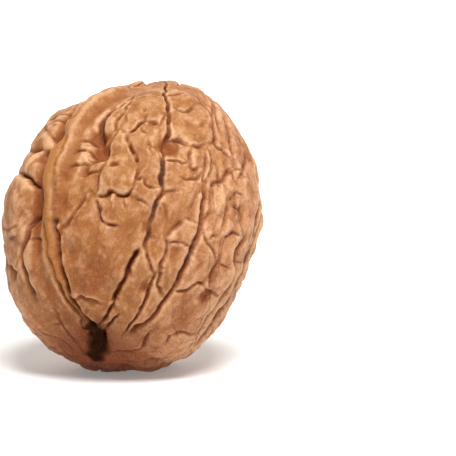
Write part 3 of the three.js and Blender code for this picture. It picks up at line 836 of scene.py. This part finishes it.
def nearness(points, routes, half_width, sizes):
    """1 on any of the routes, falling away from them as a bell."""
    total = np.zeros(len(points))
    for route in routes:
        near, distance, _, _, _ = beside_line(points, line_on_nut(route, sizes))
        total[near] = np.maximum(total[near], bell(distance, half_width))
    return total


def band_relief(points, latitude, sizes):
    """The suture band: a rounded rib that sinks near the base, and a shallow valley along each edge."""
    distance = np.full(len(points), LINE_REACH)
    for route in (FRONT_SUTURE, BACK_SUTURE):
        near, apart, _, _, _ = beside_line(points, line_on_nut(route, sizes))
        distance[near] = np.minimum(distance[near], apart)
    rises = smooth_step(BAND_SUNK_BY, BAND_SINKS_FROM, latitude)
    on_band = np.exp(-((distance * MM / sizes.band_half_width) ** 4))
    rib = sizes.band_height / MM * rises * on_band
    valley = BAND_VALLEY_DEPTH * bell(distance - BAND_VALLEY_OFFSET, BAND_VALLEY_HALF_WIDTH)
    return rib - valley, on_band


def shell_surface(sizes):
    """Points of the shell in the nut's own frame, those of the smooth nut, and the patterns that colour it.

    Each point is the smooth nut's, in millimetres, moved in or out along its direction by the relief: the
    band, less the lines and their sunken plates, plus lips, mounds, lumps and fibres, less the fine net.
    Each pattern runs from 0 to 1. Crests are where the relief stands above its mean nearby, pale with wear
    and painted highlight, and hollows where it lies below, painted shade. The other patterns come from the
    lines, the mounds, longitude and latitude; among them are painted shade in the furrows and, partly,
    towards the base.
    """
    longitude, latitude = (grid.ravel() for grid in shell_grid())
    poles = np.array([-90, 90])
    longitude = np.concatenate([longitude, 0 * poles])
    latitude = np.concatenate([latitude, poles])
    vectors = unit_vectors(longitude, latitude)
    smooth = smooth_nut(vectors, sizes)
    shaken = smooth + np.column_stack([rippled(smooth, layers) for layers in SHAKES])

    band, on_band = band_relief(smooth, latitude, sizes)
    cut, dark, puff, lips = line_relief(shaken, sizes)
    pits = PIT_DEEPENING * mound_relief(shaken, PITS, sizes) + mound_relief(smooth, [SCAR], sizes)
    pads = mound_relief(smooth, [*PADS, APEX_TIP, RESTING_PAD], sizes)

    front_middle = sum(FRONT_EDGES) / 2
    half_front = FRONT_EDGES[1] - front_middle
    turn = (longitude - front_middle + 180) % 360 - 180
    hidden = smooth_step(half_front - FRONT_FADE, half_front, np.abs(turn))
    net = np.exp(-net_distance(shaken, sizes) / NET_HALF_WIDTH)
    net_cut = net * between((NET_DEPTH_FRONT, NET_DEPTH_BACK), hidden) * (1 - on_band)

    ragged = rippled(smooth, SCAR_FRAY)
    scar = smooth_step(*SCAR_EDGE, nearness(shaken, [SCAR_ROUTE], SCAR_HALF_WIDTH, sizes) + ragged)
    grain = rippled(smooth, LUMPS) + rippled(smooth * FIBRE_SQUEEZE, FIBRES) + scar * ragged
    relief = band - cut + PUFF_MEAN - puff + lips + pits + pads - net_cut + grain

    standing = relief - local_mean(relief, CREST_PATCH)
    sunken = local_mean(relief, HOLLOW_PATCH) - relief
    from_gold = np.abs(turn + front_middle - GOLD_MIDDLE) + rippled(smooth, GOLD_EDGE)
    band_pales = 1 - BAND_PALES_BY * smooth_step(*BAND_PALES, latitude)
    # tint and stain both darken the base: partly the shell's own tone, partly painted shade of the underside.
    tint = smooth_step(*BASE_TINT_GROWS, latitude)
    stain = smooth_step(*BASE_TONE_AND_SHADE_GROWS, latitude)
    # Painted shade in furrows, hollows and pits and, partly, towards the base; painted highlight, with wear,
    # on crests.
    patterns = {
        "groove_brown_and_shade": np.clip(dark + net_cut, 0, 1),
        "hollow_brown_and_shade": np.clip(HOLLOW_SHADE_GAIN * sunken - PIT_SHADE * pits, 0, 1),
        "crest_wear_and_highlight": np.clip(CREST_HIGHLIGHT_GAIN * standing - CREST_LOSS * sunken, 0, 1),
        "gold": 1 - smooth_step(*GOLD_FADES, from_gold),
        "band": on_band**2 * smooth_step(*BAND_STARTS, latitude) * band_pales,
        "stain": nearness(shaken, STAIN_ROUTES, STAIN_HALF_WIDTH, sizes),
        "smudge_and_shade": np.clip(mound_relief(shaken, SMUDGES_AND_SHADE, sizes), 0, 1),
        "scar": scar,
        "base": BASE_TINT * tint + (1 - BASE_TINT) * stain,
    }
    return smooth + vectors * relief[:, None], smooth, patterns


def local_mean(values, patch):
    """Mean over a small patch of the grid: a running mean along the rings, then one along the columns."""
    half_rings, half_columns = patch
    grid = values[:-2].reshape(RINGS, COLUMNS)
    shifts = range(-half_columns, half_columns + 1)
    grid = sum(np.roll(grid, shift, axis=1) for shift in shifts) / len(shifts)
    padded = np.pad(grid, ((half_rings, half_rings), (0, 0)), "edge")
    rows = range(2 * half_rings + 1)
    grid = sum(padded[row:row + RINGS] for row in rows) / len(rows)
    return np.concatenate([grid.ravel(), values[-2:]])


def laid_down(points, sizes):
    """Turns the nut about its axis, leans it, faces it the way it leans and lays its flat spot on z = 0."""
    turned = Matrix.Rotation(sizes.lean_towards, 3, "Z") @ Matrix.Rotation(sizes.lean, 3, "Y")
    turned = np.array(turned @ Matrix.Rotation(sizes.turn, 3, "Z"))
    placed = points * MM @ turned.T + np.array((0, 0, sizes.centre_height))
    placed[:, 2] = np.maximum(placed[:, 2], 0)
    return placed


def shell_faces():
    """Quads between neighbouring rings, wrapped round, and a fan of triangles at each pole."""
    column = np.arange(COLUMNS)
    after = (column + 1) % COLUMNS
    ring = COLUMNS * np.arange(RINGS - 1)[:, None]
    quads = np.stack([ring + column, ring + after, ring + COLUMNS + after, ring + COLUMNS + column], axis=-1)
    base, apex = COLUMNS * RINGS, COLUMNS * RINGS + 1
    top = COLUMNS * (RINGS - 1)
    base_fan = np.stack([after, column, np.full(COLUMNS, base)], axis=-1)
    apex_fan = np.stack([top + column, top + after, np.full(COLUMNS, apex)], axis=-1)
    return quads.reshape(-1, 4).tolist() + base_fan.tolist() + apex_fan.tolist()


def add_node(tree, kind, settings, inputs):
    """Adds a node with its settings. Each input is a value, or another node's output to link."""
    added = tree.nodes.new(kind)
    for name, value in settings.items():
        setattr(added, name, value)
    for key, value in inputs.items():
        if isinstance(value, bpy.types.NodeSocket):
            tree.links.new(value, added.inputs[key])
        else:
            added.inputs[key].default_value = value
    return added


def walnut_shell_material(colours, pattern_names):
    """Dry walnut shell: a woody tan skin, matt, mottled in soft patches a few millimetres across.

    It is paler on the crests of plates, with wear and painted highlight, brown with painted shade in dents
    and pits, nearly black at the bottom of furrows, partly the shell's own dark brown and partly painted
    shade, darker and redder towards the base, partly painted shade, golden along the band, and fibrous and
    dark at the base scar. Fine fibres run from base to apex, dust and specks lie on the plates, dull smudges
    on some of them, a few of which, beside the furrows near the scar, are painted shade, and hairline cracks,
    drawn in the furrows' brown and painted shade, away from the gold.
    """
    material = bpy.data.materials.new("dry_walnut_shell")
    material.use_nodes = True
    tree = material.node_tree
    tree.nodes.clear()

    place = add_node(tree, "ShaderNodeAttribute", {"attribute_name": "nut_place"}, {}).outputs["Vector"]
    patterns = {}
    for name in pattern_names:
        patterns[name] = add_node(tree, "ShaderNodeAttribute", {"attribute_name": name}, {}).outputs["Fac"]
    for name, patches in SHELL_PATCHES.items():
        scale = 1 / patches.size, 1 / patches.size, 1 / (patches.size * patches.stretch)
        scaled = add_node(tree, "ShaderNodeMapping", {}, {"Vector": place, "Scale": scale}).outputs["Vector"]
        inputs = {"Vector": scaled, "Scale": 1, "Detail": patches.detail, "Roughness": patches.roughness}
        patterns[name] = add_node(tree, "ShaderNodeTexNoise", {}, inputs).outputs["Fac"]

    inputs = {0: patterns["bend"], 1: HAIRLINE_BEND}
    shift = add_node(tree, "ShaderNodeMath", {"operation": "MULTIPLY"}, inputs)
    bent = add_node(tree, "ShaderNodeVectorMath", {"operation": "ADD"}, {0: place, 1: shift.outputs[0]})
    scale = 1 / HAIRLINE_CELL, 1 / HAIRLINE_CELL, HAIRLINE_SQUEEZE / HAIRLINE_CELL
    scaled = add_node(tree, "ShaderNodeMapping", {}, {"Vector": bent.outputs[0], "Scale": scale})
    inputs = {"Vector": scaled.outputs["Vector"], "Scale": 1}
    cells = add_node(tree, "ShaderNodeTexVoronoi", {"feature": "DISTANCE_TO_EDGE"}, inputs)
    patterns["cell_edge"] = cells.outputs["Distance"]
    for name, (source, ramp) in SHELL_RAMPS.items():
        inputs = {"Value": patterns[source], **dict(zip(RAMP_SOCKETS, ramp))}
        patterns[name] = add_node(tree, "ShaderNodeMapRange", {"clamp": True}, inputs).outputs["Result"]
    inputs = {0: patterns["hairline"], 1: patterns["off_gold"]}
    patterns["hairlines"] = add_node(tree, "ShaderNodeMath", {"operation": "MULTIPLY"}, inputs).outputs[0]

    tone = (*colours.plate, 1)
    for layer in SHELL_LAYERS:
        inputs = {"Value": patterns[layer.pattern], **dict(zip(RAMP_SOCKETS, layer.ramp))}
        share = add_node(tree, "ShaderNodeMapRange", {"clamp": True}, inputs).outputs["Result"]
        if layer.within:
            inputs = {0: share, 1: patterns[layer.within]}
            share = add_node(tree, "ShaderNodeMath", {"operation": "MULTIPLY"}, inputs).outputs[0]
        inputs = {MIX_FACTOR: share, MIX_A: tone, MIX_B: (*getattr(colours, layer.swatch), 1)}
        tone = add_node(tree, "ShaderNodeMix", {"data_type": "RGBA"}, inputs).outputs[MIX_RESULT]

    height = 0
    for name, share in BUMP_SHARES.items():
        inputs = {0: patterns[name], 1: share, 2: height}
        height = add_node(tree, "ShaderNodeMath", {"operation": "MULTIPLY_ADD"}, inputs).outputs[0]
    bump_inputs = {"Height": height, "Strength": BUMP_STRENGTH, "Distance": BUMP_HEIGHT * MM}
    bump = add_node(tree, "ShaderNodeBump", {}, bump_inputs)
    shader_inputs = {
        "Base Color": tone,
        "Roughness": patterns["roughness"],
        "IOR": SHELL_IOR,
        "Specular IOR Level": patterns["shine"],
        "Normal": bump.outputs["Normal"],
    }
    shader = add_node(tree, "ShaderNodeBsdfPrincipled", {}, shader_inputs)
    add_node(tree, "ShaderNodeOutputMaterial", {}, {"Surface": shader.outputs["BSDF"]})
    return material


def plain_material(name, swatch, glow):
    """A plain matt surface for the stage, which may glow a little so that it stays white."""
    material = bpy.data.materials.new(name)
    material.use_nodes = True
    shader = material.node_tree.nodes["Principled BSDF"]
    shader.inputs["Base Color"].default_value = (*swatch, 1)
    shader.inputs["Roughness"].default_value = STAGE_ROUGHNESS
    shader.inputs["Specular IOR Level"].default_value = STAGE_SHINE
    shader.inputs["Emission Color"].default_value = (1, 1, 1, 1)
    shader.inputs["Emission Strength"].default_value = glow
    return material


class WALNUT_OT_shell(bpy.types.Operator):
    """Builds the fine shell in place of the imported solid"""

    bl_idname = "walnut.shell"
    bl_label = "Walnut shell"

    def execute(self, context):
        sizes = context.scene.walnut_sizes
        points, smooth, patterns = shell_surface(sizes)
        mesh = bpy.data.meshes.new("walnut_shell")
        mesh.from_pydata(laid_down(points, sizes).tolist(), [], shell_faces())
        mesh.shade_smooth()
        for name, values in patterns.items():
            mesh.attributes.new(name, "FLOAT", "POINT").data.foreach_set("value", values.astype(np.float32))
        nut_place = mesh.attributes.new("nut_place", "FLOAT_VECTOR", "POINT")
        nut_place.data.foreach_set("vector", smooth.astype(np.float32).ravel())
        mesh.materials.append(walnut_shell_material(context.scene.walnut_colours, patterns))
        shell = bpy.data.objects.new("walnut_shell", mesh)
        context.scene.collection.objects.link(shell)
        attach(shell, "root")
        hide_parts(WALNUT_NODE)
        return {"FINISHED"}


class WALNUT_OT_stage(bpy.types.Operator):
    """Sets the floor, the backdrop, the lights and the camera"""

    bl_idname = "walnut.stage"
    bl_label = "Walnut stage"

    def execute(self, context):
        stage = context.scene.walnut_stage
        floor_material = plain_material("matt_white_floor", stage.floor, stage.floor_glow)
        add_sheet("floor", floor_material, (0, 0, CAD_BOX[0][2]), "Z", FLOOR_WIDTH)
        backdrop_material = plain_material("white_backdrop", stage.floor, BACKDROP_GLOW)
        add_sheet("backdrop", backdrop_material, BACKDROP_MIDDLE, "Y", BACKDROP_WIDTH)
        add_key_light(stage)
        add_camera(stage)
        world = bpy.data.worlds.new("even_light")
        world.use_nodes = True
        world.node_tree.nodes["Background"].inputs["Color"].default_value = (1, 1, 1, 1)
        world.node_tree.nodes["Background"].inputs["Strength"].default_value = stage.world
        context.scene.world = world
        context.scene.view_settings.view_transform = "Standard"
        return {"FINISHED"}


def add_sheet(name, material, middle, axis, width):
    """A flat square of the stage, across the given axis."""
    corners = np.array([(-1, -1), (1, -1), (1, 1), (-1, 1)]) * width / 2
    flat = np.zeros((4, 3))
    flat[:, [k for k in range(3) if "XYZ"[k] != axis]] = corners
    mesh = bpy.data.meshes.new(name)
    mesh.from_pydata((flat + middle).tolist(), [], [(0, 1, 2, 3)])
    mesh.materials.append(material)
    sheet = bpy.data.objects.new(name, mesh)
    bpy.context.scene.collection.objects.link(sheet)


def add_key_light(stage):
    """A wide, even light from above and in front, like a large soft box."""
    lamp = bpy.data.lights.new("key", "SUN")
    lamp.energy = stage.key
    lamp.angle = stage.key_softness
    light = bpy.data.objects.new("key", lamp)
    light.rotation_euler = (-KEY_FROM).to_track_quat("-Z", "Y").to_euler()
    bpy.context.scene.collection.objects.link(light)


def add_camera(stage):
    """A camera that looks along +Y and down, with the nut where the photograph has it."""
    lens = bpy.data.cameras.new("camera")
    view_width = IMAGE_WIDTH * MM_PER_PIXEL * MM
    lens.lens = lens.sensor_width * stage.camera_distance / view_width
    lens.clip_start = NEAREST_SEEN
    camera = bpy.data.objects.new("camera", lens)
    back = Vector((0, -np.cos(stage.camera_height), np.sin(stage.camera_height)))
    camera.location = CAMERA_AIM + stage.camera_distance * back
    camera.rotation_euler = (-back).to_track_quat("-Z", "Y").to_euler()
    bpy.context.scene.collection.objects.link(camera)
    bpy.context.scene.camera = camera


class WALNUT_PT_sidebar(bpy.types.Panel):
    """Lists the walnut's pieces and settings"""

    bl_label = "Walnut"
    bl_space_type = "VIEW_3D"
    bl_region_type = "UI"
    bl_category = "Walnut"

    def draw(self, context):
        for operator in (WALNUT_OT_shell, WALNUT_OT_stage):
            self.layout.operator(operator.bl_idname)
        for group in ("walnut_sizes", "walnut_colours", "walnut_stage"):
            settings = getattr(context.scene, group)
            for name in settings.__annotations__:
                self.layout.prop(settings, name)


CLASSES = (
    WalnutSizes, WalnutColours, WalnutStage, WALNUT_OT_shell, WALNUT_OT_stage, WALNUT_PT_sidebar,
)


def register():
    """Adds the settings, the operators and the panel to Blender."""
    for cls in CLASSES:
        bpy.utils.register_class(cls)
    bpy.types.Scene.walnut_sizes = bpy.props.PointerProperty(type=WalnutSizes)
    bpy.types.Scene.walnut_colours = bpy.props.PointerProperty(type=WalnutColours)
    bpy.types.Scene.walnut_stage = bpy.props.PointerProperty(type=WalnutStage)


def unregister():
    """Takes them away again, last first."""
    del bpy.types.Scene.walnut_stage
    del bpy.types.Scene.walnut_colours
    del bpy.types.Scene.walnut_sizes
    for cls in reversed(CLASSES):
        bpy.utils.unregister_class(cls)


def main():
    """Builds the walnut and its stage."""
    register()
    bpy.ops.walnut.shell()
    bpy.ops.walnut.stage()


if __name__ == "__main__":
    main()
